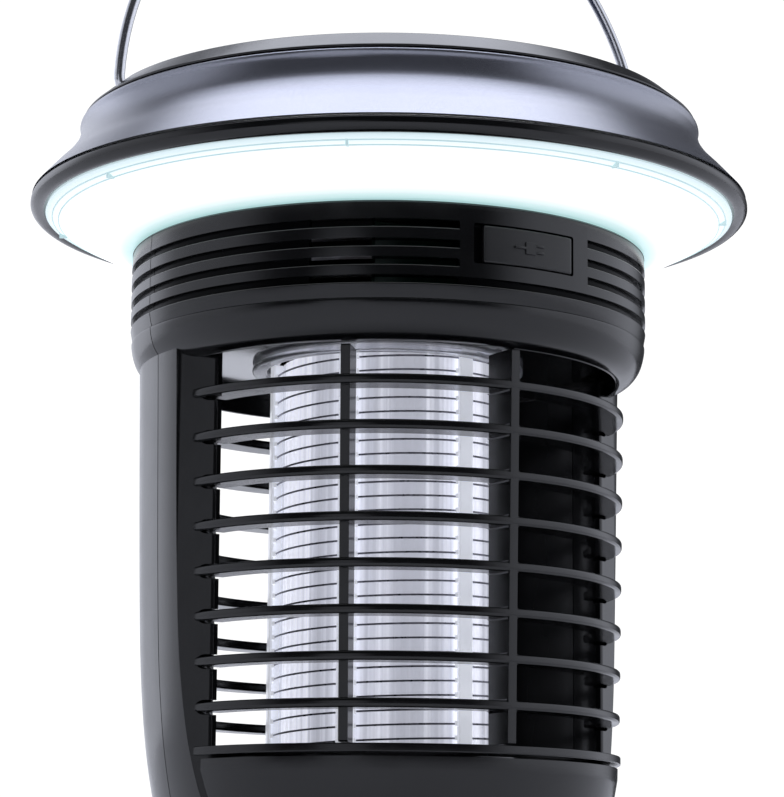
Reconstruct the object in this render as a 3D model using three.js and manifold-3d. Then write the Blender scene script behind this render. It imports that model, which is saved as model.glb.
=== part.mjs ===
// Lantern-type electric bug zapper: flared light cap on a slotted housing, with a shock grid
// around a lamp, a pull-out debris drawer and a wire bail.
// Millimetres, +Z up. The origin is the centre of the foot's underside and -Y is the front.
// An azimuth is in degrees about Z, 0 at the front and positive towards +X.
import * as THREE from 'three';
import { mergeVertices } from 'three/addons/utils/BufferGeometryUtils.js';
import Module from 'manifold-3d';

const wasm = await Module();
wasm.setup();

// ---- driving dimensions ----
const GAP = 0.3;
const ROUND_STEPS = 32;

const CAP_R = 80.3;
const CAP_TOP_Z = 205.1;
const LIP_R = 69.7;
const LIP_Z = 200.5;
const RIM_Z = 180.2;
const SKIRT_END_Z = 183.8;
const SKIRT_WALL = 1.6;
const PANEL_R = 60.6;
const PANEL_SEAT_Z = 203.2;

const COLLAR_R = 57.4;
const COLLAR_INNER_R = 54.6;
const COLLAR_TOP_Z = 171.7;
const COLLAR_LIP_R = 50.8;
const WINDOW_TOP_Z = 143.2;
const GROOVE_Z = [154.4, 158.2, 162.1, 166.2];
const GROOVE_HEIGHT = 1.5;
const GROOVE_DEPTH = 1.0;
const VENT_AZ = [-43.4, -11.7];

const PILLAR_FOOT_Z = 8;
const PILLAR_TOP_Z = 146;
const PILLAR_INNER_R = 47.6;
const LOWER_WALL = 3.4;
const BEVEL_OUTER_R = 54.4;
const BEVEL_INNER_R = 49;
const BEVEL_SWEEP = 7;
const FRONT_EDGE_AZ = 81;
const REAR_EDGE_AZ = 60;

const SILL_R = 51.3;
const SILL_INNER_R = 45.5;
const SILL_Z = 59.05;
const SILL_TOP_Z = 60.85;

const RING_COUNT = 8;
const RING_TOP_Z = 136.3;
const RING_PITCH = 9.475;
const RING_THICK = 2;
const RING_INNER_R = 45;
const RING_OUTER_R = [52.4, 51.2];
const RIB_THICK = 2;
const RIB_INNER_R = 43.5;

const PORT_X = 4.5;
const PORT_Z = 163.25;
const COVER_AZ = [-6.5, 15.8];
const COVER_Z = [159.3, 167.2];
const COVER_R = [55.9, 57.6];
const RECESS_AZ = [-8.7, 16.1];
const PORT_ZONE_AZ = [-11.7, 20.6];

const BUTTON_R = 5;
const BUTTON_Z = 161;

const BAIL_R = 65.7;
const BAIL_Z = 203;
const BAIL_WIRE_R = 1.2;
const BAIL_HOOK_X = 58.5;
const BAIL_NOTCH = 4.7;

const TUBE_R = 23.5;
const TUBE_INNER_R = 22.1;
const TUBE_TOP_Z = 146.8;
const WIRE_R = 0.35;
const GRID_R = 25;
const GRID_Z = [61.7, 146.3];
const GRID_LEAD = 6.08;
const GRID_START_AZ = [-110.6, 69.4];
const POST_COUNT = 6;
const POST_FIRST_AZ = 14.5;
const POST_SPAN = 8;
const POST_R = [25.5, 26.2];
const GRID_FLOOR_Z = [59, 60.8];
const GRID_FOOT_Z = 61.1;
const FLANGE_R = [26.8, 30.2];
const FLANGE_Z = [145.5, 146.9];

const LAMP_R = 7.5;
const LAMP_Z = [68, 137];
const SOCKET_R = 11;
const CEILING_R = 24;
const CEILING_Z = [147.2, 151.2];

const SCREW_AZ = [60, 120, 240, 300];
const SCREW_AT_R = 52.4;
const SCREW_HOLE_R = 1.35;
const SCREW_HOLE_Z = [145, 160];
const SCREW_HEAD_R = 1.8;
const SCREW_HEAD_Z = [151.5, 153];
const SHANK_R = 1;
const SHANK_Z = [145.5, 152];

const CELL_LENGTH = 65;
const CELL_R = 9.2;
const CELL_Z = 185;
const LED_COUNT = 12;

// Blocks inside the cap and collar: x, y and z limits.
const HOLDER_BOX = [-37, 37, -12, 12, 171.5, 183];
const HV_BOX = [-34, -2, 4, 30, 153.6, 168.6];
const CONTROL_BOX = [-24, 24, -41.8, -40.2, 153.4, 169.2];

const DRAWER_TOP_Z = 58.3;
const DRAWER_WALL = 2.2;
const DRAWER_INSET = 0.6;
const DRAWER_GAP = 0.9;
const BIN_TOP_Z = 54;
const BIN_FLOOR_Z = 8.8;
const BIN_WALL = 1.4;

// ---- materials ----
const paint = (color, roughness, metalness = 0) =>
  new THREE.MeshStandardMaterial({ color, roughness, metalness });
const BLACK = paint(0x17181b, 0.45);
const RUBBER = paint(0x101114, 0.8);
const CAP_PAINT = paint(0x6d7079, 0.35, 0.7);
const CELL = paint(0x101a36, 0.2, 0.2);
const MILKY = paint(0xf4f8fa, 0.4);
const PALE = paint(0xdcd8d6, 0.5);
const CLEAR = paint(0xd5dae4, 0.15);
const LAMP = paint(0xb9a9e6, 0.2);
const STEEL = paint(0xb4b7bd, 0.25, 1);
const BOARD = paint(0x1f5a38, 0.5);
const SLEEVE = paint(0x2b6cb0, 0.4);

const zapper = new THREE.Group();

// ---- helpers: plan points, solids and cuts ----
const radians = (degrees) => (degrees * Math.PI) / 180;
const plan = (r, azimuth) => [r * Math.sin(radians(azimuth)), -r * Math.cos(radians(azimuth))];

function addPart(name, geometry, material) {
  const mesh = new THREE.Mesh(geometry, material);
  mesh.name = name;
  zapper.add(mesh);
  return mesh;
}

// A revolved solid about Z. A profile that starts off the axis is closed on itself.
function revolve(profile, steps = ROUND_STEPS) {
  const points = profile.map(([r, z]) => new THREE.Vector2(r, z));
  if (THREE.ShapeUtils.area(points) < 0) points.reverse();
  if (profile[0][0] > 0) points.push(points[0].clone());
  return new THREE.LatheGeometry(points, steps).rotateX(Math.PI / 2);
}

function prism(outline, z0, z1) {
  const shape = new THREE.Shape(outline.map(([x, y]) => new THREE.Vector2(x, y)));
  const geometry = new THREE.ExtrudeGeometry(shape, { depth: z1 - z0, bevelEnabled: false });
  return geometry.translate(0, 0, z0);
}

function box(x0, x1, y0, y1, z0, z1) {
  const geometry = new THREE.BoxGeometry(x1 - x0, y1 - y0, z1 - z0);
  return geometry.translate((x0 + x1) / 2, (y0 + y1) / 2, (z0 + z1) / 2);
}

// A cylinder along X or Y between two stations.
function rod(axis, r, from, to, [u, z], steps = 16) {
  const geometry = new THREE.CylinderGeometry(r, r, to - from, steps);
  const middle = (from + to) / 2;
  if (axis === 'x') return geometry.rotateZ(-Math.PI / 2).translate(middle, u, z);
  return geometry.translate(u, middle, z);
}

function solid(geometry) {
  const bare = geometry.clone();
  bare.deleteAttribute('normal');
  bare.deleteAttribute('uv');
  const merged = mergeVertices(bare, 1e-4);
  const index = merged.index.array;
  const triangles = [];
  for (let i = 0; i < index.length; i += 3) {
    const [a, b, c] = [index[i], index[i + 1], index[i + 2]];
    if (a !== b && b !== c && c !== a) triangles.push(a, b, c);
  }
  const vertProperties = new Float32Array(merged.attributes.position.array);
  const triVerts = new Uint32Array(triangles);
  return new wasm.Manifold(new wasm.Mesh({ numProp: 3, vertProperties, triVerts }));
}

const join = (...geometries) => geometries.map(solid).reduce((sum, next) => sum.add(next));
const subtractAll = (body, cuts) => cuts.reduce((sum, cut) => sum.subtract(cut), body);

function surface(manifold) {
  const { vertProperties, triVerts } = manifold.getMesh();
  const geometry = new THREE.BufferGeometry();
  geometry.setAttribute('position', new THREE.BufferAttribute(vertProperties, 3));
  geometry.setIndex(new THREE.BufferAttribute(triVerts, 1));
  geometry.computeVertexNormals();
  return geometry;
}

// A wedge of space between two azimuths less than 180 degrees apart.
function wedge(from, to, z0, z1, r = 100) {
  const outline = [[0, 0]];
  for (let step = 0; step <= 4; step += 1) outline.push(plan(r, from + ((to - from) * step) / 4));
  return solid(prism(outline, z0, z1));
}

// The plan area of a window between its two bevelled jambs, drawn back by a clearance.
function windowPlan(edge, clearance) {
  const outer = edge - (clearance / BEVEL_OUTER_R) * (180 / Math.PI);
  const inner = edge - BEVEL_SWEEP - (clearance / BEVEL_INNER_R) * (180 / Math.PI);
  const side = [plan(20, inner), plan(BEVEL_INNER_R, inner), plan(BEVEL_OUTER_R, outer), plan(90, outer)];
  const front = [plan(130, 40), plan(130, -40)];
  return [...side, ...front, ...side.map(([x, y]) => [-x, y]).reverse()];
}

// ---- cap ----
function skirtOutline() {
  const flare = new THREE.SplineCurve([
    new THREE.Vector2(LIP_R, LIP_Z - 0.4),
    new THREE.Vector2(69.6, 197.6),
    new THREE.Vector2(72.3, 192),
    new THREE.Vector2(77.4, 186.4),
    new THREE.Vector2(80, SKIRT_END_Z),
  ]);
  return flare.getPoints(5).map(({ x, y }) => [x, y]);
}

function capSkirt() {
  const outside = skirtOutline();
  const inside = outside.map(([r, z]) => [r - SKIRT_WALL, z]).reverse();
  inside[inside.length - 1] = [LIP_R - SKIRT_WALL, LIP_Z - SKIRT_WALL];
  const flange = [[56, LIP_Z - SKIRT_WALL], [56, LIP_Z], [LIP_R - 0.3, LIP_Z]];
  return revolve([...outside, ...inside, ...flange]);
}

function topBezel() {
  const body = solid(revolve([
    [8, LIP_Z + GAP], [69, LIP_Z + GAP], [64.6, CAP_TOP_Z], [PANEL_R + GAP, CAP_TOP_Z],
    [PANEL_R + GAP, PANEL_SEAT_Z], [8, PANEL_SEAT_Z],
  ]));
  const notch = (side) => {
    const x = [side * 63.4, side * 72].sort((a, b) => a - b);
    return solid(box(...x, -BAIL_NOTCH, BAIL_NOTCH, LIP_Z, CAP_TOP_Z + 1));
  };
  const hole = (side) => {
    const x = [side * (BAIL_HOOK_X - 1), side * 66].sort((a, b) => a - b);
    return solid(rod('x', BAIL_WIRE_R + GAP, ...x, [0, BAIL_Z]));
  };
  return surface(subtractAll(body, [notch(1), notch(-1), hole(1), hole(-1)]));
}

addPart('top_bezel', topBezel(), BLACK);
addPart('cap_skirt', capSkirt(), CAP_PAINT);
addPart('solar_panel', revolve([
  [0, PANEL_SEAT_Z + 1.7], [57, PANEL_SEAT_Z + 1.7], [57, PANEL_SEAT_Z + GAP], [0, PANEL_SEAT_Z + GAP],
].reverse()), CELL);
addPart('rim_ring', revolve([
  [75.6, 182.4], [77.6, RIM_Z], [79.3, RIM_Z + 0.1], [CAP_R, RIM_Z + 1.4], [CAP_R, RIM_Z + 2.6],
  [79.6, SKIRT_END_Z - GAP], [75.6, SKIRT_END_Z - GAP],
]), BLACK);
addPart('diffuser', revolve([
  [50, 172.1], [57.4, 172.1], [66, 175], [73, 178.3], [77, 180.4], [75.3, 182], [72.4, 179.7],
  [66, 176.6], [57.4, 173.7], [50, 173.7],
]), MILKY);
addPart('reflector', revolve([
  [72, 186], [72, 187.4], [48, 187.4], [48, 198.6], [46.4, 198.6], [46.4, 186],
], 24), PALE);

function ledBoard() {
  const disc = revolve([[55, 184.2], [70, 184.2], [70, 185.7], [55, 185.7]], 24);
  const led = (azimuth) => box(-1.4, 1.4, -64, -61.2, 183.2, 184.6).rotateZ(radians(azimuth));
  const leds = Array.from({ length: LED_COUNT }, (_, i) => led((i * 360) / LED_COUNT));
  return surface(join(disc, ...leds));
}
addPart('led_board', ledBoard(), PALE);
addPart('cap_deck', revolve([[12, 169.6], [54.2, 169.6], [54.2, 171.2], [12, 171.2]]), BLACK);

function batteryHolder() {
  const tray = solid(box(...HOLDER_BOX));
  const reach = CELL_LENGTH / 2 + 1;
  const channel = solid(rod('x', CELL_R + GAP, -reach, reach, [0, CELL_Z], 24));
  return surface(tray.subtract(channel));
}
addPart('battery_holder', batteryHolder(), BLACK);
addPart('battery_cell', rod('x', CELL_R, -CELL_LENGTH / 2, CELL_LENGTH / 2, [0, CELL_Z], 20), SLEEVE);

// ---- housing: two moulded halves of collar, jambs, sill and lower wall ----
const pillarSpline = new THREE.SplineCurve([
  new THREE.Vector2(39.9, PILLAR_FOOT_Z),
  new THREE.Vector2(45.6, 32),
  new THREE.Vector2(50.7, 53),
  new THREE.Vector2(53.1, 72.5),
  new THREE.Vector2(54.2, 98),
  new THREE.Vector2(55.2, PILLAR_TOP_Z),
]);

// Points up the outside of the jambs, from the foot to a height.
function flank(inset, top, steps) {
  const points = pillarSpline.getPoints(60).map(({ x, y }) => [x - inset, y]);
  const below = points.filter(([, z]) => z <= top);
  const stride = (below.length - 1) / steps;
  return Array.from({ length: steps + 1 }, (_, i) => below[Math.round(i * stride)]);
}

function jambShell() {
  const outside = flank(0, PILLAR_TOP_Z, 8);
  const lower = flank(LOWER_WALL, SILL_Z, 4).reverse();
  const inside = [[PILLAR_INNER_R, PILLAR_TOP_Z], [PILLAR_INNER_R, SILL_Z + 1]];
  return solid(revolve([...outside, ...inside, ...lower]));
}

function collarShell() {
  const outline = [
    [COLLAR_LIP_R, WINDOW_TOP_Z], [52.6, WINDOW_TOP_Z], [54.8, 144.2], [56.4, 146.4], [57.1, 149],
    [COLLAR_R, 152],
  ];
  GROOVE_Z.forEach((z) => outline.push(
    [COLLAR_R, z],
    [COLLAR_R - GROOVE_DEPTH, z],
    [COLLAR_R - GROOVE_DEPTH, z + GROOVE_HEIGHT],
    [COLLAR_R, z + GROOVE_HEIGHT],
  ));
  const inside = [[COLLAR_INNER_R, COLLAR_TOP_Z], [COLLAR_INNER_R, 149.4], [COLLAR_LIP_R, 149.4]];
  const top = [[COLLAR_R, COLLAR_TOP_Z - 0.6], [COLLAR_R - 0.6, COLLAR_TOP_Z]];
  return solid(revolve([...outline, ...top, ...inside]));
}

function ventSlots() {
  const slot = (z) => solid(revolve([
    [COLLAR_INNER_R - 1, z], [COLLAR_R + 1, z],
    [COLLAR_R + 1, z + GROOVE_HEIGHT], [COLLAR_INNER_R - 1, z + GROOVE_HEIGHT],
  ]));
  const area = wedge(...VENT_AZ, GROOVE_Z[0] - 2, COLLAR_TOP_Z);
  return GROOVE_Z.map((z) => slot(z).intersect(area));
}

// The screws and their pilot holes tie both halves to the ceiling plate.
function screwRod(azimuth, r, [z0, z1], steps) {
  const [x, y] = plan(SCREW_AT_R, azimuth);
  const upright = new THREE.CylinderGeometry(r, r, z1 - z0, steps).rotateX(Math.PI / 2);
  return upright.translate(x, y, (z0 + z1) / 2);
}
const screwHoles = () => SCREW_AZ.map((azimuth) => solid(screwRod(azimuth, SCREW_HOLE_R, SCREW_HOLE_Z, 8)));

// The front half's window runs down to the foot, where the drawer fills it.
function housingHalf(edge, windowFoot) {
  const window = solid(prism(windowPlan(edge, 0), windowFoot, PILLAR_TOP_Z + 1));
  const sill = solid(revolve([
    [SILL_INNER_R, SILL_Z], [SILL_R, SILL_Z], [SILL_R, SILL_TOP_Z], [SILL_INNER_R, SILL_TOP_Z],
  ])).intersect(wedge(1 - edge, edge - 1, SILL_Z - 1, SILL_TOP_Z + 1));
  const half = solid(box(-90, 90, -90, -GAP / 2, 0, 190));
  const shell = jambShell().subtract(window).add(sill).add(collarShell());
  return shell.intersect(half);
}

function housingFront() {
  const padding = solid(revolve([
    [COLLAR_INNER_R, GROOVE_Z[1] - 0.5], [COLLAR_R, GROOVE_Z[1] - 0.5],
    [COLLAR_R, COLLAR_TOP_Z - 2], [COLLAR_INNER_R, COLLAR_TOP_Z - 2],
  ])).intersect(wedge(...PORT_ZONE_AZ, GROOVE_Z[1] - 1, COLLAR_TOP_Z));
  const recess = solid(revolve([
    [COVER_R[0] - GAP, COVER_Z[0] - GAP], [60, COVER_Z[0] - GAP],
    [60, COVER_Z[1] + GAP], [COVER_R[0] - GAP, COVER_Z[1] + GAP],
  ])).intersect(wedge(...RECESS_AZ, COVER_Z[0] - 1, COVER_Z[1] + 1));
  const mouth = solid(box(PORT_X - 7.4, PORT_X + 7.4, -57, -48, PORT_Z - 3.6, PORT_Z + 3.6));
  const body = housingHalf(FRONT_EDGE_AZ, -1).add(padding);
  return surface(subtractAll(body, [recess, mouth, ...ventSlots(), ...screwHoles()]));
}

function housingRear() {
  const half = housingHalf(REAR_EDGE_AZ, SILL_Z);
  const turned = half.rotate([0, 0, 180]);
  const padding = solid(rod('y', BUTTON_R + 3, COLLAR_INNER_R - 1, COLLAR_R - 0.2, [0, BUTTON_Z], 24));
  const hole = solid(rod('y', BUTTON_R + GAP, 50, 62, [0, BUTTON_Z], 24));
  return surface(subtractAll(turned.add(padding), [hole, ...screwHoles()]));
}

addPart('housing_front', housingFront(), BLACK);
addPart('housing_rear', housingRear(), BLACK);

SCREW_AZ.forEach((azimuth, i) => {
  const head = screwRod(azimuth, SCREW_HEAD_R, SCREW_HEAD_Z, 10);
  const shank = screwRod(azimuth, SHANK_R, SHANK_Z, 8);
  addPart(`housing_screw_${i + 1}`, surface(join(head, shank)), STEEL);
});

// ---- grilles: stacked ring bars held by upright comb ribs ----
const ringTop = (i) => RING_TOP_Z - RING_PITCH * i;
const ringOuter = (i) => RING_OUTER_R[0] + ((RING_OUTER_R[1] - RING_OUTER_R[0]) * i) / (RING_COUNT - 1);

function ringBar(i, edge) {
  const z = ringTop(i);
  const r = ringOuter(i);
  const whole = solid(revolve([
    [RING_INNER_R, z - RING_THICK], [r, z - RING_THICK], [r, z], [RING_INNER_R, z],
  ]));
  return surface(whole.intersect(solid(prism(windowPlan(edge, GAP), z - 3, z + 1))));
}

function combRib(azimuth, toothR) {
  const top = WINDOW_TOP_Z - GAP;
  const bottom = SILL_TOP_Z + GAP;
  const spine = RING_INNER_R - GAP;
  const outline = [[RIB_INNER_R, bottom], [toothR(RING_COUNT), bottom]];
  for (let i = RING_COUNT - 1; i >= 0; i -= 1) {
    const under = ringTop(i) - RING_THICK - GAP;
    const over = ringTop(i) + GAP;
    outline.push([toothR(i), under], [spine, under], [spine, over], [toothR(i), over]);
  }
  outline.push([toothR(0), top], [RIB_INNER_R, top]);
  const plate = prism(outline, -RIB_THICK / 2, RIB_THICK / 2);
  return plate.rotateX(Math.PI / 2).rotateZ(radians(azimuth - 90));
}

const flushTooth = (i) => ringOuter(Math.min(i, RING_COUNT - 1)) - 0.2;
const recessedTooth = () => 50.3;

for (let i = 0; i < RING_COUNT; i += 1) {
  addPart(`front_ring_${i + 1}`, ringBar(i, FRONT_EDGE_AZ), BLACK);
  addPart(`rear_ring_${i + 1}`, ringBar(i, REAR_EDGE_AZ).rotateZ(Math.PI), BLACK);
}
addPart('front_rib_flush', combRib(4, flushTooth), BLACK);
addPart('front_rib_recessed', combRib(-36.5, recessedTooth), BLACK);
addPart('rear_rib_left', combRib(38, flushTooth).rotateZ(Math.PI), BLACK);
addPart('rear_rib_right', combRib(-38, recessedTooth).rotateZ(Math.PI), BLACK);

// ---- shock grid and lamp ----
function ceilingPlate() {
  const flangeZ = 149.7;
  const [low, high] = CEILING_Z;
  const plate = solid(revolve([
    [CEILING_R, low], [COLLAR_LIP_R - GAP, low], [COLLAR_LIP_R - GAP, flangeZ],
    [COLLAR_INNER_R - 0.4, flangeZ], [COLLAR_INNER_R - 0.4, high], [CEILING_R, high],
  ]));
  return surface(subtractAll(plate, screwHoles()));
}

const sleeve = ([r0, r1], [z0, z1], steps) => revolve([[r0, z0], [r1, z0], [r1, z1], [r0, z1]], steps);

addPart('ceiling_plate', ceilingPlate(), BLACK);
addPart('lamp_flange', sleeve(FLANGE_R, FLANGE_Z, 24), CLEAR);
addPart('lens_tube', sleeve([TUBE_INNER_R, TUBE_R], [GRID_FOOT_Z, TUBE_TOP_Z], 24), CLEAR);
addPart('lamp_socket', revolve([
  [0, LAMP_Z[1] + GAP], [SOCKET_R, LAMP_Z[1] + GAP], [SOCKET_R, 151.5], [22, 151.5], [22, 153], [0, 153],
], 20), PALE);
addPart('uv_lamp', revolve([
  [0, LAMP_Z[0]], [5, LAMP_Z[0]], [LAMP_R, LAMP_Z[0] + 2.5], [LAMP_R, LAMP_Z[1]], [0, LAMP_Z[1]],
], 16), LAMP);

// The grid's two poles are wires wound side by side round the posts, half a turn apart.
class Spiral extends THREE.Curve {
  constructor(startAz) {
    super();
    this.startAz = startAz;
  }

  getPoint(t, target = new THREE.Vector3()) {
    const rise = (GRID_Z[1] - GRID_Z[0]) * t;
    const [x, y] = plan(GRID_R, this.startAz + (360 * rise) / GRID_LEAD);
    return target.set(x, y, GRID_Z[0] + rise);
  }
}

function electrode(startAz) {
  const corners = [0, 120, 240].map((turn) => plan(WIRE_R, turn));
  const section = new THREE.Shape(corners.map(([x, y]) => new THREE.Vector2(x, y)));
  const steps = Math.round((20 * (GRID_Z[1] - GRID_Z[0])) / GRID_LEAD);
  const extrudePath = new Spiral(startAz);
  return surface(solid(new THREE.ExtrudeGeometry(section, { steps, extrudePath })));
}
addPart('grid_electrode_a', electrode(GRID_START_AZ[0]), STEEL);
addPart('grid_electrode_b', electrode(GRID_START_AZ[1]), STEEL);

for (let i = 0; i < POST_COUNT; i += 1) {
  const azimuth = POST_FIRST_AZ + (360 * i) / POST_COUNT;
  const arc = solid(sleeve(POST_R, [GRID_FOOT_Z, TUBE_TOP_Z], 48));
  const span = wedge(azimuth - POST_SPAN / 2, azimuth + POST_SPAN / 2, 60, 150);
  addPart(`grid_post_${i + 1}`, surface(arc.intersect(span)), CLEAR);
}

function gridFloor() {
  const [low, high] = GRID_FLOOR_Z;
  const rimR = SILL_INNER_R - GAP;
  const hub = revolve([[16, low], [30, low], [30, high], [16, high]], 24);
  const rim = revolve([[43, low], [rimR, low], [rimR, high], [43, high]]);
  const spoke = (azimuth) => box(-1.5, 1.5, -43.5, -29, low, high).rotateZ(radians(azimuth));
  return surface(join(hub, rim, spoke(0), spoke(90), spoke(180), spoke(270)));
}
addPart('grid_floor', gridFloor(), BLACK);

// ---- debris drawer, base and foot ----
function drawerFront() {
  const outside = flank(DRAWER_INSET, DRAWER_TOP_Z, 5);
  outside[0][1] += GAP;
  const inside = flank(DRAWER_INSET + DRAWER_WALL, DRAWER_TOP_Z, 5).reverse();
  inside[inside.length - 1][1] += GAP;
  const shell = solid(revolve([...outside, ...inside]));
  return surface(shell.intersect(solid(prism(windowPlan(FRONT_EDGE_AZ, DRAWER_GAP), 0, 70))));
}

// The bin is slim enough to pass between the jambs.
function debrisBin() {
  const slim = Math.sin(radians(FRONT_EDGE_AZ - BEVEL_SWEEP));
  const wall = flank(LOWER_WALL, BIN_TOP_Z, 4).map(([r, z]) => [r * slim - 0.8, z]);
  wall[0][1] = BIN_FLOOR_Z;
  const inside = wall.map(([r, z]) => [r - BIN_WALL, z]).reverse();
  inside[inside.length - 1][1] += BIN_WALL;
  return revolve([[0, BIN_FLOOR_Z], ...wall, ...inside, [0, BIN_FLOOR_Z + BIN_WALL]]);
}
addPart('drawer_front', drawerFront(), BLACK);
addPart('debris_bin', debrisBin(), BLACK);
addPart('base_plate', revolve([
  [0, 2.2], [37.6, 2.2], [39.2, 3.4], [39.7, 7.6], [34, 7.6], [34, 5.2], [0, 5.2],
]), BLACK);
addPart('foot_ring', revolve([[29, 0], [35.4, 0], [36, 0.6], [36, 1.9], [29, 1.9]], 24), RUBBER);

// ---- electronics, port and button ----
addPart('hv_module', box(...HV_BOX), BLACK);
addPart('control_board', box(...CONTROL_BOX), BOARD);

function usbPort() {
  const shell = solid(box(PORT_X - 7, PORT_X + 7, -54, -42.2, PORT_Z - 3.2, PORT_Z + 3.2));
  const mouth = solid(box(PORT_X - 6.4, PORT_X + 6.4, -56, -43.4, PORT_Z - 2.6, PORT_Z + 2.6));
  const tongue = solid(box(PORT_X - 5.6, PORT_X + 5.6, -53.2, -43, PORT_Z - 2.4, PORT_Z - 0.9));
  return surface(shell.subtract(mouth).add(tongue));
}
addPart('usb_port', usbPort(), STEEL);

// The flap turns on the round right-hand end of its own plate.
const COVER_HALF = (COVER_R[1] - COVER_R[0]) / 2;
const HINGE_AZ = COVER_AZ[1] - 0.87;
const [HINGE_X, HINGE_Y] = plan(COVER_R[0] + COVER_HALF, HINGE_AZ);
function usbCover() {
  const steps = 6;
  const arc = (r) => Array.from({ length: steps + 1 }, (_, i) =>
    plan(r, COVER_AZ[0] + ((HINGE_AZ - COVER_AZ[0]) * i) / steps));
  const end = Array.from({ length: 5 }, (_, i) => {
    const turn = radians(HINGE_AZ - 90 + 30 * (i + 1));
    return [HINGE_X + COVER_HALF * Math.cos(turn), HINGE_Y + COVER_HALF * Math.sin(turn)];
  });
  return prism([...arc(COVER_R[1]), ...end, ...arc(COVER_R[0]).reverse()], ...COVER_Z);
}
addPart('usb_cover', usbCover(), RUBBER);

function modeButton() {
  const cap = rod('y', BUTTON_R, 52, 58.4, [0, BUTTON_Z], 24);
  const flange = rod('y', BUTTON_R + 1.6, 51.6, 53, [0, BUTTON_Z], 24);
  return surface(join(cap, flange));
}
addPart('mode_button', modeButton(), RUBBER);

// ---- bail: one wire bent to a half circle with its ends hooked inwards ----
function bailWire() {
  const archPoints = Array.from({ length: 17 }, (_, i) => {
    const turn = (Math.PI * i) / 16;
    return new THREE.Vector3(-BAIL_R * Math.cos(turn), 0, BAIL_Z + BAIL_R * Math.sin(turn));
  });
  const extrudePath = new THREE.CatmullRomCurve3(archPoints);
  const section = new THREE.Shape(Array.from({ length: 8 }, (_, i) => {
    const turn = radians(i * 45);
    return new THREE.Vector2(BAIL_WIRE_R * Math.cos(turn), BAIL_WIRE_R * Math.sin(turn));
  }));
  const arch = new THREE.ExtrudeGeometry(section, { steps: 28, extrudePath });
  const corner = (x) => new THREE.SphereGeometry(BAIL_WIRE_R, 8, 6).translate(x, 0, BAIL_Z);
  const left = rod('x', BAIL_WIRE_R, -BAIL_R, -BAIL_HOOK_X, [0, BAIL_Z], 8);
  const right = rod('x', BAIL_WIRE_R, BAIL_HOOK_X, BAIL_R, [0, BAIL_Z], 8);
  return surface(join(arch, left, right, corner(-BAIL_R), corner(BAIL_R)));
}
addPart('bail_wire', bailWire(), STEEL);

export default zapper;
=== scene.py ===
import math

import bmesh
import bpy
from mathutils import Matrix, Vector


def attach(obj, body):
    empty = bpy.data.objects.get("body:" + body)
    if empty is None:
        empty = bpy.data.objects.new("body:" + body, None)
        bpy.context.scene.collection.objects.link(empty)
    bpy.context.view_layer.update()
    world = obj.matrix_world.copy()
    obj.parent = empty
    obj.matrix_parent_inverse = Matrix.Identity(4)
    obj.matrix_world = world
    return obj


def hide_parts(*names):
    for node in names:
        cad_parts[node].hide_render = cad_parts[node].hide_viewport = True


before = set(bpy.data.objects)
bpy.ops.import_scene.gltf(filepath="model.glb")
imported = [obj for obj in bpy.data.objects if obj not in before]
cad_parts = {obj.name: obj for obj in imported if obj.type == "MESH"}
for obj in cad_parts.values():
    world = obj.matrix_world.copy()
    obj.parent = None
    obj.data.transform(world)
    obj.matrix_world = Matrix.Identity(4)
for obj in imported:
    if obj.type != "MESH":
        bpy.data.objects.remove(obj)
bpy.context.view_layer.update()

# ---- dimensions ----
# In millimetres and mostly the CAD's own; the grid wire and the skirt's wall are thinner here.
# Azimuth 0 is the front, which faces -Y, and azimuths grow towards +X.
MM = 0.001
STEPS, CAP_STEPS = 192, 256     # sides of a turned piece, and of the wide ones in the cap
AXIS = 0.01                     # the smallest radius of a turned outline that closes on the axis
FAR = 90.0                      # a radius beyond every piece, for cutting tools
QUARTER = (0, 0.4, 0.8, 1.2, math.pi / 2)   # the angles of a small quarter round

CAP_R, CAP_TOP = 80.3, 205.1
LIP_R, LIP_Z = 69.7, 200.5
LIP_IN, LIP_WALL, LIP_EDGE, SKIRT_WALL = 56.0, 1.6, 0.6, 1.5
RIM_Z, SKIRT_END = 180.2, 183.8
PANEL_R, PANEL_SEAT = 60.6, 203.2

COLLAR_R, COLLAR_IN, COLLAR_TOP = 57.4, 54.6, 171.7
COLLAR_LIP, COLLAR_FLOOR = 50.8, 149.4
WINDOW_TOP = 143.2
GROOVES = (154.4, 158.2, 162.1, 166.2)
GROOVE_H, GROOVE_D, GROOVE_ROUND = 1.5, 1.0, 0.45
VENT_AZ = (-43.4, -11.7)
PORT_ZONE = (-11.7, 20.6)

JAMB = ((39.9, 8), (45.6, 32), (50.7, 53), (53.1, 72.5), (54.2, 98), (55.2, 146))
JAMB_IN = 47.6
LOWER_WALL = 3.4
BEVEL_OUT, BEVEL_IN, BEVEL_SWEEP = 54.4, 49.0, 7.0
FRONT_EDGE, REAR_EDGE = 81.0, 60.0
HALF_GAP = 0.15

# the housing's inner walls get painted shade, their reflection turned down, inside these radii, at the
# windows and in the collar, which begins at this height
PAINTED_SHADE_R, PAINTED_SHADE_COLLAR_R, PAINTED_SHADE_COLLAR_Z = 48.6, 56.8, 149.6

SILL_R, SILL_IN, SILL_Z, SILL_TOP = 51.3, 45.5, 59.05, 60.85

RING_COUNT, RING_TOP, RING_PITCH, RING_H = 8, 136.3, 9.475, 2.0
RING_IN, RING_OUT = 45.0, (52.4, 51.2)
RIB_W, RIB_IN, COVE_R = 2.0, 43.5, 0.9
SLOT_R, SLOT_SPAN, SLOT_INSET = 1.55, (43, 56), 5.6

PORT_X, PORT_Z = 4.5, 163.25
COVER_AZ, COVER_Z, COVER_R = (-6.5, 15.8), (159.3, 167.2), (55.9, 57.6)
RECESS_AZ = (-8.7, 16.1)

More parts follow.
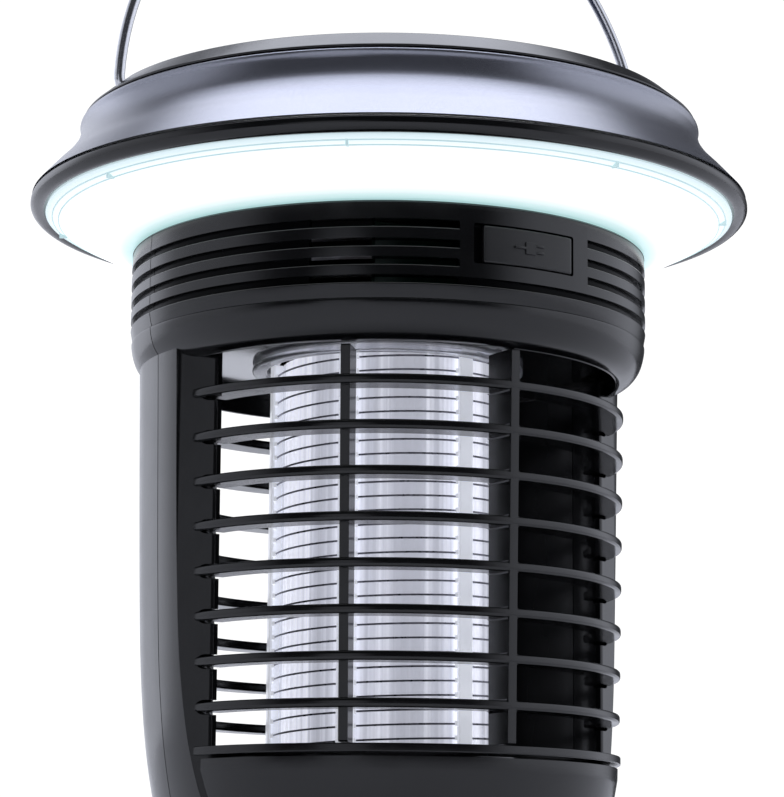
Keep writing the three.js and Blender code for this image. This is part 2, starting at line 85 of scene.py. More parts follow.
BUTTON_R, BUTTON_Z = 5.0, 161.0
BUTTON_FOOT, BUTTON_FACE, BUTTON_FLANGE = 52, 58.4, 1.6
BAIL_R, BAIL_Z, WIRE_R, HOOK_X, NOTCH = 65.7, 203.0, 1.2, 58.5, 4.7

TUBE_R, TUBE_IN, TUBE_FOOT, TUBE_TOP = 23.5, 22.1, 61.1, 146.8
GRID_R, GRID_WIRE, GRID_Z, GRID_LEAD = 25.0, 0.22, (61.7, 146.3), 6.08
GRID_START_AZ = (-110.6, 69.4)
POST_COUNT, POST_FIRST_AZ, POST_SPAN, POST_R = 6, 14.5, 8.0, (25.5, 26.2)
WEB_HALF, TOOTH_HALF = 0.4, 0.5
FLANGE_R, FLANGE_Z = (26.8, 30.2), (145.5, 146.9)
LAMP_R, LAMP_Z = 7.5, (68, 137)
FLOOR_Z, FLOOR_HUB, FLOOR_RIM_IN = (59.0, 60.8), (16, 30), 43

DRAWER_TOP, DRAWER_WALL, DRAWER_INSET, DRAWER_GAP = 58.3, 2.2, 0.6, 0.9
BIN_TOP, BIN_FLOOR, BIN_WALL = 54.0, 8.8, 1.4

# the camera's place and aim, which set the view of the front window
CAMERA_R, CAMERA_Z, CAMERA_AZ = 643.0, 25.0, -26.5
CAMERA_YAW, CAMERA_PITCH, CAMERA_ROLL = -0.089, 10.166, 0.415
CAMERA_LENS = 132.3

# soft boxes in fixed places round the object: azimuth and height of the middle, the angles from it
# where each begins and ends to fade, all in degrees, and its brightness
SOFT_BOXES = (
    (154, 75, 14, 36, 3.2),
    (-128, 6, 24, 54, 0.75),
    (72, 6, 24, 58, 1.1),
    (-178, 6, 20, 44, 0.9),
    (-47, 5, 2, 16, 0.6),
)
AMBIENT = 0.06
LIGHT_COLOUR = (0.92, 0.95, 1.06, 1)
BACKDROP = 1.1

# the darkest and lightest tone of the black plastic, and the scale of a mould's grain per metre
BLACK_TONES = ((0.0014, 0.0015, 0.0018), (0.0022, 0.0024, 0.0028))
MOULD_GRAIN = 2600.0


# ---- geometry helpers ----
def plan(r, azimuth):
    a = math.radians(azimuth)
    return (r * math.sin(a), -r * math.cos(a))


def spline(points, count):
    """Points spread evenly along a smooth curve through the given ones."""
    pts = [Vector((*p, 0)) for p in points]
    pts = [2 * pts[0] - pts[1], *pts, 2 * pts[-1] - pts[-2]]
    fine = []
    for i in range(1, len(pts) - 2):
        a, b, c, d = pts[i - 1:i + 3]
        for k in range(20):
            t = k / 20
            fine.append(0.5 * ((2 * b) + (c - a) * t + (2 * a - 5 * b + 4 * c - d) * t ** 2
                               + (3 * b - a - 3 * c + d) * t ** 3))
    fine.append(pts[-2])
    return [tuple(fine[round(i * (len(fine) - 1) / count)][:2]) for i in range(count + 1)]


def soften(outline, radius, steps=3, turn=25):
    """Rounds the corners of a closed outline that turn by more than some degrees."""
    result = []
    count = len(outline)
    for i, here in enumerate(outline):
        p = Vector(here)
        to_last = Vector(outline[i - 1]) - p
        to_next = Vector(outline[(i + 1) % count]) - p
        if math.degrees(math.pi - to_last.angle(to_next)) < turn:
            result.append(tuple(p))
            continue
        a = p + to_last.normalized() * min(radius, to_last.length * 0.45)
        b = p + to_next.normalized() * min(radius, to_next.length * 0.45)
        for k in range(steps + 1):
            t = k / steps
            result.append(tuple(a * (1 - t) ** 2 + p * 2 * t * (1 - t) + b * t ** 2))
    return result


def new_object(name, verts, faces):
    mesh = bpy.data.meshes.new(name)
    mesh.from_pydata([(x * MM, y * MM, z * MM) for x, y, z in verts], [], faces)
    bm = bmesh.new()
    bm.from_mesh(mesh)
    bmesh.ops.remove_doubles(bm, verts=bm.verts, dist=1e-7)
    bmesh.ops.recalc_face_normals(bm, faces=bm.faces)
    bm.to_mesh(mesh)
    bm.free()
    obj = bpy.data.objects.new(name, mesh)
    bpy.context.collection.objects.link(obj)
    return obj


def lathe(name, outline, steps=STEPS):
    """A closed outline of (r, z) turned once about Z."""
    count = len(outline)
    verts = [(*plan(r, 360 * s / steps), z) for s in range(steps) for r, z in outline]
    faces = []
    for s in range(steps):
        for i in range(count):
            j = (i + 1) % count
            nxt = (s + 1) % steps
            faces.append((s * count + i, nxt * count + i, nxt * count + j, s * count + j))
    return new_object(name, verts, faces)


def prism(name, outline, z0, z1):
    """A closed outline in plan, drawn up from z0 to z1."""
    count = len(outline)
    verts = [(x, y, z) for z in (z0, z1) for x, y in outline]
    sides = [(i, (i + 1) % count, count + (i + 1) % count, count + i) for i in range(count)]
    return new_object(name, verts, [tuple(range(count)), tuple(range(count, 2 * count)), *sides])


def block(name, x, y, z, radius=0.3):
    obj = prism(name, [(x[0], y[0]), (x[1], y[0]), (x[1], y[1]), (x[0], y[1])], *z)
    return chamfer(obj, radius)


def rod(name, start, end, r, steps):
    """A straight round bar between two points."""
    a, b = Vector(start), Vector(end)
    turn = (b - a).to_track_quat("Z", "Y")
    verts = []
    for centre in (a, b):
        for i in range(steps):
            t = 2 * math.pi * i / steps
            verts.append(tuple(centre + turn @ Vector((r * math.cos(t), r * math.sin(t), 0))))
    sides = [(i, (i + 1) % steps, steps + (i + 1) % steps, steps + i) for i in range(steps)]
    return new_object(name, verts, [tuple(range(steps)), tuple(range(steps, 2 * steps)), *sides])


def sweep(name, points, r, steps):
    """A round wire through points in an upright plane that faces Y."""
    verts, faces = [], []
    for i, p in enumerate(points):
        ahead = Vector(points[min(i + 1, len(points) - 1)])
        along = (ahead - Vector(points[max(i - 1, 0)])).normalized()
        side = Vector((0, 1, 0))
        up = along.cross(side)
        for k in range(steps):
            t = 2 * math.pi * k / steps
            verts.append(tuple(Vector(p) + r * (math.cos(t) * side + math.sin(t) * up)))
    for i in range(len(points) - 1):
        for k in range(steps):
            n = (k + 1) % steps
            faces.append((i * steps + k, i * steps + n, (i + 1) * steps + n, (i + 1) * steps + k))
    last = (len(points) - 1) * steps
    faces += [tuple(range(steps)), tuple(range(last, last + steps))]
    return new_object(name, verts, faces)


def bake(obj):
    """Applies the modifiers of an object to its mesh."""
    graph = bpy.context.evaluated_depsgraph_get()
    mesh = bpy.data.meshes.new_from_object(obj.evaluated_get(graph))
    obj.modifiers.clear()
    old, obj.data = obj.data, mesh
    bpy.data.meshes.remove(old)
    return obj


def combine(obj, tool, operation):
    mod = obj.modifiers.new("combine", "BOOLEAN")
    mod.operation = operation
    mod.solver = "MANIFOLD"
    mod.object = tool
    bake(obj)
    bpy.data.objects.remove(tool)
    return obj


def cut(obj, *tools):
    for tool in tools:
        combine(obj, tool, "DIFFERENCE")
    return obj


def add(obj, *tools):
    for tool in tools:
        combine(obj, tool, "UNION")
    return obj


def keep(obj, tool):
    return combine(obj, tool, "INTERSECT")


def chamfer(obj, width, steps=2, angle=32):
    mod = obj.modifiers.new("edges", "BEVEL")
    mod.width = width * MM
    mod.segments = steps
    mod.limit_method = "ANGLE"
    mod.angle_limit = math.radians(angle)
    mod.use_clamp_overlap = True
    return bake(obj)


def turn_z(obj, azimuth):
    obj.data.transform(Matrix.Rotation(math.radians(azimuth), 4, "Z"))
    return obj


def finish_piece(obj, material, replaces=(), body="root", sharp=34):
    """Shades a piece, gives it its material, ties it to its body and hides the CAD nodes it replaces.
    """
    obj.data.polygons.foreach_set("use_smooth", [True] * len(obj.data.polygons))
    obj.data.set_sharp_from_angle(angle=math.radians(sharp))
    mod = obj.modifiers.new("flat faces stay flat", "WEIGHTED_NORMAL")
    mod.keep_sharp = True
    bake(obj)
    obj.data.materials.clear()
    obj.data.materials.append(material)
    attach(obj, body)
    if replaces:
        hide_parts(*replaces)


def wedge(a0, a1, z0, z1):
    """A slice of the space round the axis, from one azimuth to another."""
    outline = [(0.0, 0.0)] + [plan(FAR, a0 + (a1 - a0) * i / 6) for i in range(7)]
    return prism("wedge", outline, z0, z1)


def band(name, r0, r1, z0, z1, round_to=0.0):
    outline = [(r0, z0), (r1, z0), (r1, z1), (r0, z1)]
    return lathe(name, soften(outline, round_to) if round_to else outline)


def window_plan(edge, clearance, round_to=0.0):
    """The plan of a window between its bevelled jambs, made narrower by a clearance at each side."""
    outer = edge - math.degrees(clearance / BEVEL_OUT)
    inner = edge - BEVEL_SWEEP - math.degrees(clearance / BEVEL_IN)
    side = [plan(20, inner), plan(BEVEL_IN, inner), plan(BEVEL_OUT, outer), plan(FAR, outer)]
    outline = side + [plan(130, 40), plan(130, -40)] + [(-x, y) for x, y in reversed(side)]
    return soften(outline, round_to, turn=8) if round_to else outline


# ---- materials ----
class Nodes:
    """A short way to build a node tree."""

    def __init__(self, name):
        self.material = bpy.data.materials.new(name)
        self.material.use_nodes = True
        self.tree = self.material.node_tree
        self.shader = self.tree.nodes["Principled BSDF"]
        self.coordinates = self.add("ShaderNodeTexCoord").outputs["Object"]

    def add(self, kind, **values):
        node = self.tree.nodes.new(kind)
        for key, value in values.items():
            setattr(node, key, value)
        return node

    def link(self, source, target):
        self.tree.links.new(source, target)

    def noise(self, scale, detail=3.0, stretch=(1, 1, 1)):
        """Noise over the object in cycles per metre."""
        mapping = self.add("ShaderNodeMapping")
        mapping.inputs["Scale"].default_value = stretch
        self.link(self.coordinates, mapping.inputs["Vector"])
        node = self.add("ShaderNodeTexNoise")
        node.inputs["Scale"].default_value = scale
        node.inputs["Detail"].default_value = detail
        self.link(mapping.outputs["Vector"], node.inputs["Vector"])
        return node.outputs["Fac"]

    def spread(self, source, low, high, start=0.3, end=0.7):
        node = self.add("ShaderNodeMapRange")
        node.inputs["From Min"].default_value = start
        node.inputs["From Max"].default_value = end
        node.inputs["To Min"].default_value = low
        node.inputs["To Max"].default_value = high
        self.link(source, node.inputs["Value"])
        return node.outputs["Result"]

    def tint(self, source, dark, light):
        node = self.add("ShaderNodeValToRGB")
        node.color_ramp.elements[0].position = 0.35
        node.color_ramp.elements[1].position = 0.65
        node.color_ramp.elements[0].color = (*dark, 1)
        node.color_ramp.elements[1].color = (*light, 1)
        self.link(source, node.inputs["Fac"])
        return node.outputs["Color"]

    def bump(self, source, height):
        node = self.add("ShaderNodeBump")
        node.inputs["Strength"].default_value = 0.5
        node.inputs["Distance"].default_value = height * MM
        self.link(source, node.inputs["Height"])
        self.link(node.outputs["Normal"], self.shader.inputs["Normal"])

    def radius(self):
        """The distance from the object's upright axis."""
        flat = self.add("ShaderNodeVectorMath", operation="MULTIPLY")
        flat.inputs[1].default_value = (1, 1, 0)
        self.link(self.coordinates, flat.inputs[0])
        length = self.add("ShaderNodeVectorMath", operation="LENGTH")
        self.link(flat.outputs["Vector"], length.inputs[0])
        return length.outputs["Value"]

    def work_out(self, operation, *operands):
        """A sum over other nodes' outputs and plain numbers."""
        node = self.add("ShaderNodeMath", operation=operation)
        for socket, operand in zip(node.inputs, operands):
            if isinstance(operand, bpy.types.NodeSocket):
                self.link(operand, socket)
            else:
                socket.default_value = operand
        return node.outputs["Value"]

    def set(self, **values):
        for key, value in values.items():
            self.shader.inputs[key.replace("_", " ")].default_value = value

    def colour(self, source):
        self.link(source, self.shader.inputs["Base Color"])

    def roughness(self, source):
        self.link(source, self.shader.inputs["Roughness"])


def plastic(name, dark, light, rough, grain=0.02, specular=0.5):
    """Moulded plastic: slow colour drift, uneven polish and a fine mould grain."""
    n = Nodes(name)
    n.colour(n.tint(n.noise(60.0), dark, light))
    n.roughness(n.spread(n.noise(140.0), rough - 0.035, rough + 0.035))
    n.bump(n.noise(MOULD_GRAIN, 2.0), grain)
    n.set(Specular_IOR_Level=specular)
    return n


def housing_plastic_painted_shade():
    """The same black plastic, polished outside; on the walls inside, above the sill, its reflection is
    turned down as painted shade.
    """
    n = plastic("housing_plastic_painted_shade", *BLACK_TONES, 0.18, 0.004)
    apart = n.add("ShaderNodeSeparateXYZ")
    n.link(n.coordinates, apart.inputs["Vector"])
    z = apart.outputs["Z"]
    in_collar = n.work_out("GREATER_THAN", z, PAINTED_SHADE_COLLAR_Z * MM)
    wall = n.work_out("MULTIPLY_ADD", in_collar, (PAINTED_SHADE_COLLAR_R - PAINTED_SHADE_R) * MM, PAINTED_SHADE_R * MM)
    outside = n.work_out("GREATER_THAN", n.radius(), wall)
    below = n.work_out("LESS_THAN", z, SILL_Z * MM)
    # painted shade: the inner walls reflect almost nothing, so they render dark as if shaded
    painted_shade_level, polished = 0.04, 0.5
    specular_with_painted_shade = n.spread(n.work_out("MAXIMUM", below, outside), painted_shade_level, polished, 0, 1)
    n.link(specular_with_painted_shade, n.shader.inputs["Specular IOR Level"])
    return n


def gloss_ceiling():
    """Polished black plastic under a clear coat."""
    n = plastic("gloss_ceiling", *BLACK_TONES, 0.12, 0.002)
    n.set(Coat_Weight=1.0, Coat_Roughness=0.08)
    return n


def metal(name, dark, light, rough, stretch=(1, 1, 1)):
    """Bare metal whose tone, polish and surface share one fine grain."""
    n = Nodes(name)
    grain = n.noise(900.0, 2.0, stretch)
    n.colour(n.tint(grain, dark, light))
    n.roughness(n.spread(grain, rough - 0.05, rough + 0.07))
    n.bump(grain, 0.006)
    n.set(Metallic=1.0)
    return n


def cap_paint():
    """Satin grey paint with fine metallic flake."""
    n = Nodes("cap_paint")
    n.colour(n.tint(n.noise(5200.0, 1.0), (0.25, 0.26, 0.305), (0.30, 0.31, 0.355)))
    n.roughness(n.spread(n.noise(90.0), 0.255, 0.27))
    n.bump(n.noise(3600.0, 1.0), 0.0015)
    n.set(Metallic=0.85, Coat_Weight=0.25, Coat_Roughness=0.2)
    return n


def glowing(name, dark, light, strength, rough=0.35):
    """Plastic or glass that gives off light in its own tone."""
    n = Nodes(name)
    tone = n.tint(n.noise(45.0), dark, light)
    n.colour(tone)
    n.roughness(n.spread(n.noise(300.0), rough - 0.05, rough + 0.05))
    n.bump(n.noise(1800.0, 2.0), 0.01)
    n.link(tone, n.shader.inputs["Emission Color"])
    n.set(Emission_Strength=strength)
    return n


def lit_dish():
    """Milky plastic lit from behind: brightest half way out, and greener and dimmer at both edges."""
    n = Nodes("lit_diffuser")
    across = n.spread(n.radius(), 0, 1, 57 * MM, 77 * MM)
    ramp = n.add("ShaderNodeValToRGB")
    ramp.color_ramp.elements[0].color = (0.40, 0.62, 0.62, 1)
    ramp.color_ramp.elements[1].position = 1.0
    ramp.color_ramp.elements[1].color = (0.50, 0.62, 0.66, 1)
    for position, colour in ((0.1, (0.56, 0.74, 0.74)), (0.26, (1, 1, 1)), (0.74, (1, 1, 1)),
                             (0.88, (0.76, 0.86, 0.89))):
        ramp.color_ramp.elements.new(position).color = (*colour, 1)
    n.link(across, ramp.inputs["Fac"])
    n.set(Base_Color=(0.3, 0.33, 0.33, 1))
    n.link(ramp.outputs["Color"], n.shader.inputs["Emission Color"])
    n.roughness(n.spread(n.noise(300.0), 0.3, 0.4))
    n.bump(n.noise(1800.0, 2.0), 0.01)
    n.set(Emission_Strength=1.0)
    return n


def clear(name, tone, rough, transmission):
    n = Nodes(name)
    n.colour(n.tint(n.noise(50.0), tuple(0.96 * c for c in tone), tone))
    n.roughness(n.spread(n.noise(200.0), rough * 0.7, rough * 1.3))
    n.bump(n.noise(700.0, 2.0), 0.01)
    n.set(Transmission_Weight=transmission, IOR=1.49)
    return n


def fluted_tube_painted_glow():
    """Clear plastic with painted light: it glows, and its broad and fine streaks along the flutes are
    painted refraction of the light inside and behind it.
    """
    n = Nodes("fluted_tube_painted_glow")
    broad = n.noise(110.0, 2.0, (1, 1, 0.01))
    fine = n.noise(620.0, 3.0, (1, 1, 0.005))
    mixed = n.work_out("ADD", n.spread(broad, 0.0, 0.62), n.spread(fine, 0.0, 0.38))
    # the streaked tone is both the tube's colour and its painted glow
    tone = n.tint(mixed, (0.46, 0.47, 0.52), (0.76, 0.77, 0.83))
    n.colour(tone)
    n.link(tone, n.shader.inputs["Emission Color"])
    n.set(Emission_Strength=0.58, Transmission_Weight=0.25, IOR=1.45)
    n.roughness(n.spread(n.noise(200.0), 0.16, 0.26))
    n.bump(fine, 0.02)
    return n


def solar_cells():
    """Dark cells with thin silver fingers, under a clear gloss coat."""
    n = Nodes("solar_cells")
    lines = n.add("ShaderNodeTexBrick")
    lines.offset = 0.0
    lines.inputs["Color1"].default_value = (0.006, 0.010, 0.034, 1)
    lines.inputs["Color2"].default_value = (0.010, 0.016, 0.046, 1)
    lines.inputs["Mortar"].default_value = (0.045, 0.05, 0.075, 1)
    lines.inputs["Scale"].default_value = 1.0
    lines.inputs["Mortar Size"].default_value = 0.00012
    lines.inputs["Brick Width"].default_value = 0.026
    lines.inputs["Row Height"].default_value = 0.0022
    n.link(n.coordinates, lines.inputs["Vector"])
    n.colour(lines.outputs["Color"])
    n.roughness(n.spread(n.noise(120.0), 0.1, 0.16))
    n.bump(n.noise(400.0), 0.002)
    n.set(Coat_Weight=0.8, Coat_Roughness=0.05)
    return n


BLACK = plastic("black_plastic", *BLACK_TONES, 0.18, 0.004).material
HOUSING = housing_plastic_painted_shade().material
GLOSS_BLACK = plastic("grille_plastic", *BLACK_TONES, 0.17, 0.004).material
CEILING_GLOSS = gloss_ceiling().material
DULL = plastic("dull_black", *BLACK_TONES, 0.6, 0.01, specular=0.08).material
RUBBER = plastic("black_rubber", (0.0045, 0.0045, 0.005), (0.0065, 0.0065, 0.007), 0.42, 0.03).material
PALE = plastic("pale_plastic", (0.70, 0.67, 0.66), (0.76, 0.73, 0.72), 0.4).material
CAP = cap_paint().material
MILKY = lit_dish().material
TEAL = glowing("diffuser_edge", (0.34, 0.46, 0.47), (0.42, 0.54, 0.55), 0.75).material
STEEL = metal("bright_steel", (0.58, 0.59, 0.62), (0.68, 0.69, 0.72), 0.18, (1, 1, 6)).material
GRID = metal("grid_wire", (0.22, 0.22, 0.25), (0.32, 0.32, 0.36), 0.3).material
CLEAR = clear("clear_plastic", (0.93, 0.94, 0.98), 0.12, 0.75).material
FLUTED = fluted_tube_painted_glow().material
# the posts are clear plastic, no lamp: their glow is painted light from the lamp beside them
POST = glowing("post_plastic_painted_glow", (0.62, 0.64, 0.70), (0.72, 0.74, 0.80), 0.6, 0.2).material
LAMP = glowing("lamp_glass", (0.56, 0.54, 0.66), (0.64, 0.62, 0.74), 0.35, 0.2).material
CELLS = solar_cells().material
# the board's own green, darkened almost to black as painted shade for the dark inside behind the vents
BOARD = plastic("circuit_board", (0.006, 0.03, 0.018), (0.009, 0.042, 0.024), 0.3).material
SLEEVE = plastic("cell_sleeve", (0.025, 0.14, 0.38), (0.035, 0.18, 0.45), 0.3).material


# ---- cap ----
def cap_skirt():
    """The flared grey skirt, with a flat lip inside its top that the bezel sits on."""
    flare = spline([(LIP_R, LIP_Z - LIP_EDGE), (69.5, 198.2), (70.5, 194.9), (73.0, 191.2),
                    (76.2, 187.9), (80.0, SKIRT_END)], 36)
    inner = [(r - SKIRT_WALL, z) for r, z in flare][::-1]
    inner[-1] = (LIP_R - LIP_WALL, LIP_Z - LIP_WALL)
    lip = [(LIP_IN, LIP_Z - LIP_WALL), (LIP_IN, LIP_Z)]
    for t in (0, 0.3, 0.6, 0.9, 1.2):
        lip.append((LIP_R - LIP_EDGE + LIP_EDGE * math.sin(t),
                    LIP_Z - LIP_EDGE + LIP_EDGE * math.cos(t)))
    obj = lathe("cap_skirt_shell", flare + inner + lip, CAP_STEPS)
    finish_piece(obj, CAP, ["cap_skirt"])


def top_bezel():
    """The black top ring, with a pocket and a hole for each end of the bail."""
    outline = [(8, LIP_Z + 0.3), (69.0, LIP_Z + 0.3), (69.15, LIP_Z + 0.75), (64.6, CAP_TOP),
               (PANEL_R + 0.3, CAP_TOP), (PANEL_R + 0.3, PANEL_SEAT), (8, PANEL_SEAT)]
    obj = lathe("top_bezel_ring", soften(outline, 0.45, 4), CAP_STEPS)
    for side in (-1, 1):
        x = sorted((side * 63.4, side * 75))
        pocket = block("pocket", x, (-NOTCH, NOTCH), (LIP_Z + 0.9, CAP_TOP + 2), 0.9)
        hole_ends = (side * (HOOK_X - 1), 0, BAIL_Z), (side * 66, 0, BAIL_Z)
        hole = rod("hole", *hole_ends, WIRE_R + 0.3, 48)
        cut(obj, pocket, hole)
    finish_piece(obj, BLACK, ["top_bezel"])


def solar_panel():
    r, low, high = 57, PANEL_SEAT + 0.3, PANEL_SEAT + 0.3 + 1.4
    outline = [(AXIS, low), (r, low), (r, high), (AXIS, high)]
    obj = lathe("solar_panel_disc", soften(outline, 0.25), 160)
    finish_piece(obj, CELLS, ["solar_panel"])


def rim_ring():
    outline = [(75.6, 182.4), (77.4, RIM_Z + 0.05), (79.0, RIM_Z), (CAP_R, RIM_Z + 1.2),
               (CAP_R - 0.05, RIM_Z + 2.6), (79.7, SKIRT_END - 0.25), (75.6, SKIRT_END - 0.25)]
    obj = lathe("rim_ring_bead", soften(outline, 0.8, 5), CAP_STEPS)
    finish_piece(obj, BLACK, ["rim_ring"])


def diffuser():
    """The lit dish, with two fine steps near its rim and eight small tabs."""
    lower = spline([(50, 171.9), (57.2, 172.0), (61.5, 173.2), (67, 175.4), (73, 178.3),
                    (76.9, 180.3)], 40)
    upper = [(r - 0.5, z + 1.4) for r, z in lower][::-1]
    obj = lathe("diffuser_dish", lower + upper, CAP_STEPS)
    finish_piece(obj, MILKY, ["diffuser"])
    for number, middle in enumerate((74.0, 75.4)):
        groove = [(r, spline_z(lower, r) - 0.12) for r in (middle - 0.13, middle + 0.13)]
        groove += [(r, z + 0.2) for r, z in groove[::-1]]
        finish_piece(lathe(f"diffuser_step_{number + 1}", groove, CAP_STEPS), TEAL)
    for i in range(8):
        tab = block("tab", (-0.3, 0.3), (-75.6, -73.8), (178.4, 179.9), 0.1)
        turn_z(tab, 12 + 45 * i)
        tab.name = f"diffuser_tab_{i + 1}"
        finish_piece(tab, TEAL)


def spline_z(points, r):
    """The height of a rising line of points at a radius."""
    for (r0, z0), (r1, z1) in zip(points, points[1:]):
        if r0 <= r <= r1:
            return z0 + (z1 - z0) * (r - r0) / (r1 - r0)
    return points[-1][1]


# ---- housing ----
def collar(name):
    """The grooved ring above the windows, open inside down to its floor."""
    shoulder = [(COLLAR_LIP, WINDOW_TOP), (52.4, WINDOW_TOP), (54.6, 144.3), (56.2, 146.4),
                (57.0, 149.0), (57.3, 151.6)]
    shoulder = soften(shoulder, 1.6, 5, 8)[1:-1]
    body = [(COLLAR_LIP, WINDOW_TOP)] + shoulder + [(COLLAR_R - 0.35, 152.0)]
    for z in GROOVES:
        for t in QUARTER:
            body.append((COLLAR_R - GROOVE_ROUND * (1 - math.cos(t)),
                         z - GROOVE_ROUND * (1 - math.sin(t))))
        body += [(COLLAR_R - GROOVE_D, z), (COLLAR_R - GROOVE_D, z + GROOVE_H),
                 (COLLAR_R, z + GROOVE_H)]
    body += soften([(COLLAR_R, COLLAR_TOP - 0.6), (COLLAR_R - 0.6, COLLAR_TOP),
                    (COLLAR_IN, COLLAR_TOP)], 0.2)
    body += [(COLLAR_IN, COLLAR_FLOOR), (COLLAR_LIP, COLLAR_FLOOR)]
    return lathe(name, body)


def jamb_shell(name):
    outside = spline(JAMB, 44)
    inner_low = [(r - LOWER_WALL, z) for r, z in outside if z <= SILL_Z][::-1]
    inside = [(JAMB_IN, 146), (JAMB_IN, SILL_Z + 1)]
    return lathe(name, outside + inside + inner_low)


def vents():
    tools = []
    for z in GROOVES:
        slot = band("slot", COLLAR_IN - 1, COLLAR_R + 1, z, z + GROOVE_H)
        tools.append(keep(slot, wedge(*VENT_AZ, z - 2, z + 4)))
    return tools


def ring_z(i):
    return RING_TOP - RING_PITCH * i


def ring_r(i):
    return RING_OUT[0] + (RING_OUT[1] - RING_OUT[0]) * i / (RING_COUNT - 1)


def ring_slots(edge):
    """Rounded slots in the jambs' bevels, where the ring bars pass through."""
    tools = []
    reach = edge - SLOT_INSET
    for i in range(RING_COUNT):
        middle = ring_z(i) - RING_H / 2
        slot = band("slot", *SLOT_SPAN, middle - SLOT_R, middle + SLOT_R)
        tools.append(keep(slot, wedge(-reach, reach, middle - 4, middle + 4)))
        for side in (-1, 1):
            start, end = (plan(r, side * reach) for r in SLOT_SPAN)
            tools.append(rod("slot_end", (*start, middle), (*end, middle), SLOT_R, 24))
    return tools


def half_space():
    """Everything in front of the seam between the housing's halves."""
    return prism("half", [(-FAR, -FAR), (FAR, -FAR), (FAR, -HALF_GAP), (-FAR, -HALF_GAP)], -5, 200)


def housing_half(name, edge, window_low):
    obj = jamb_shell(name)
    cut(obj, prism("window", window_plan(edge, 0, 0.7), window_low, 150))
    sill = band("sill", SILL_IN, SILL_R, SILL_Z, SILL_TOP, 0.3)
    add(obj, keep(sill, wedge(1 - edge, edge - 1, SILL_Z - 2, SILL_TOP + 2)))
    add(obj, collar("collar"))
    keep(obj, half_space())
    return cut(obj, *ring_slots(edge))


def housing_front():
    obj = housing_half("housing_front_shell", FRONT_EDGE, -2)
    pad = band("pad", COLLAR_IN, COLLAR_R, GROOVES[1] - 0.5, COLLAR_TOP - 1.4)
    add(obj, keep(pad, wedge(*PORT_ZONE, GROOVES[1] - 1, COLLAR_TOP)))
    recess = band("recess", COVER_R[0] - 0.3, 60, COVER_Z[0] - 0.3, COVER_Z[1] + 0.3)
    recess = chamfer(keep(recess, wedge(*RECESS_AZ, 150, 175)), 0.5)
    mouth = block("mouth", (PORT_X - 7.4, PORT_X + 7.4), (-57, -48),
                  (PORT_Z - 3.6, PORT_Z + 3.6))
    cut(obj, recess, mouth, *vents())
    finish_piece(obj, HOUSING, ["housing_front"])


def housing_rear():
    obj = housing_half("housing_rear_shell", REAR_EDGE, SILL_Z)
    turn_z(obj, 180)
    boss_ends = (0, COLLAR_IN - 1, BUTTON_Z), (0, COLLAR_R - 0.1, BUTTON_Z)
    add(obj, chamfer(rod("boss", *boss_ends, BUTTON_R + 3, 64), 0.3))
    cut(obj, rod("hole", (0, 50, BUTTON_Z), (0, 62, BUTTON_Z), BUTTON_R + 0.3, 64))
    finish_piece(obj, HOUSING, ["housing_rear"])


# ---- grilles ----
def ring_bar(i, edge):
    z, r = ring_z(i), ring_r(i)
    outline = soften([(RING_IN, z - RING_H), (r, z - RING_H), (r, z), (RING_IN, z)], 0.75, 5)
    bar = lathe("ring", outline)
    return keep(bar, prism("reach", window_plan(edge, -1.2), z - 4, z + 2))


def rib(azimuth, drop):
    """An upright rib; drop is how far it sits behind the ring bars' faces."""
    low, high = SILL_TOP + 0.3, WINDOW_TOP - 0.3
    z_first, z_last = ring_z(0), ring_z(RING_COUNT - 1)
    slope = (ring_r(0) - ring_r(RING_COUNT - 1)) / (z_first - z_last)
    face = [(ring_r(0) - drop + slope * (z - z_first), z) for z in (low, high)]
    outline = [(RIB_IN, low), face[0], face[1], (RIB_IN, high)]
    plate = prism("rib", soften(outline, 0.4), -RIB_W / 2, RIB_W / 2)
    plate.data.transform(Matrix.Rotation(math.pi / 2, 4, "X"))
    return chamfer(turn_z(plate, azimuth - 90), 0.35)


def coves(azimuth, drop):
    """Fillets in the corners between a flush rib and the ring bars."""
    tools = []
    for i in range(RING_COUNT):
        for up in (-1, 1):
            for side in (-1, 1):
                z = ring_z(i) + (-0.1 if up > 0 else -RING_H + 0.1)
                x = side * (RIB_W / 2 - 0.1)
                arc = [(x + side * COVE_R * (1 - math.sin(t)), z + up * COVE_R * (1 - math.cos(t)))
                       for t in QUARTER]
                face = [(x, z), *arc]
                deep, front = -RIB_IN - 0.5, -ring_r(i) + drop + 0.35
                verts = [(p[0], y, p[1]) for y in (deep, front) for p in face]
                n = len(face)
                sides = [(k, (k + 1) % n, n + (k + 1) % n, n + k) for k in range(n)]
                tool = new_object("cove", verts, [tuple(range(n)), tuple(range(n, 2 * n)), *sides])
                tools.append(turn_z(tool, azimuth))
    return tools


def grille(name, edge, ribs, replaced):
    """A window's ring bars and its ribs, each given as an azimuth and a drop."""
    bars = [ring_bar(i, edge) for i in range(RING_COUNT)]
    obj = bars[0]
    obj.name = name
    add(obj, *bars[1:])
    for azimuth, drop in ribs:
        add(obj, rib(azimuth, drop))
        if drop < 0.5:
            add(obj, *coves(azimuth, drop))
    if edge == REAR_EDGE:
        turn_z(obj, 180)
    rings = [f"{replaced}_ring_{i + 1}" for i in range(RING_COUNT)]
    names = {"front": ["front_rib_flush", "front_rib_recessed"],
             "rear": ["rear_rib_left", "rear_rib_right"]}
    finish_piece(obj, GLOSS_BLACK, rings + names[replaced])


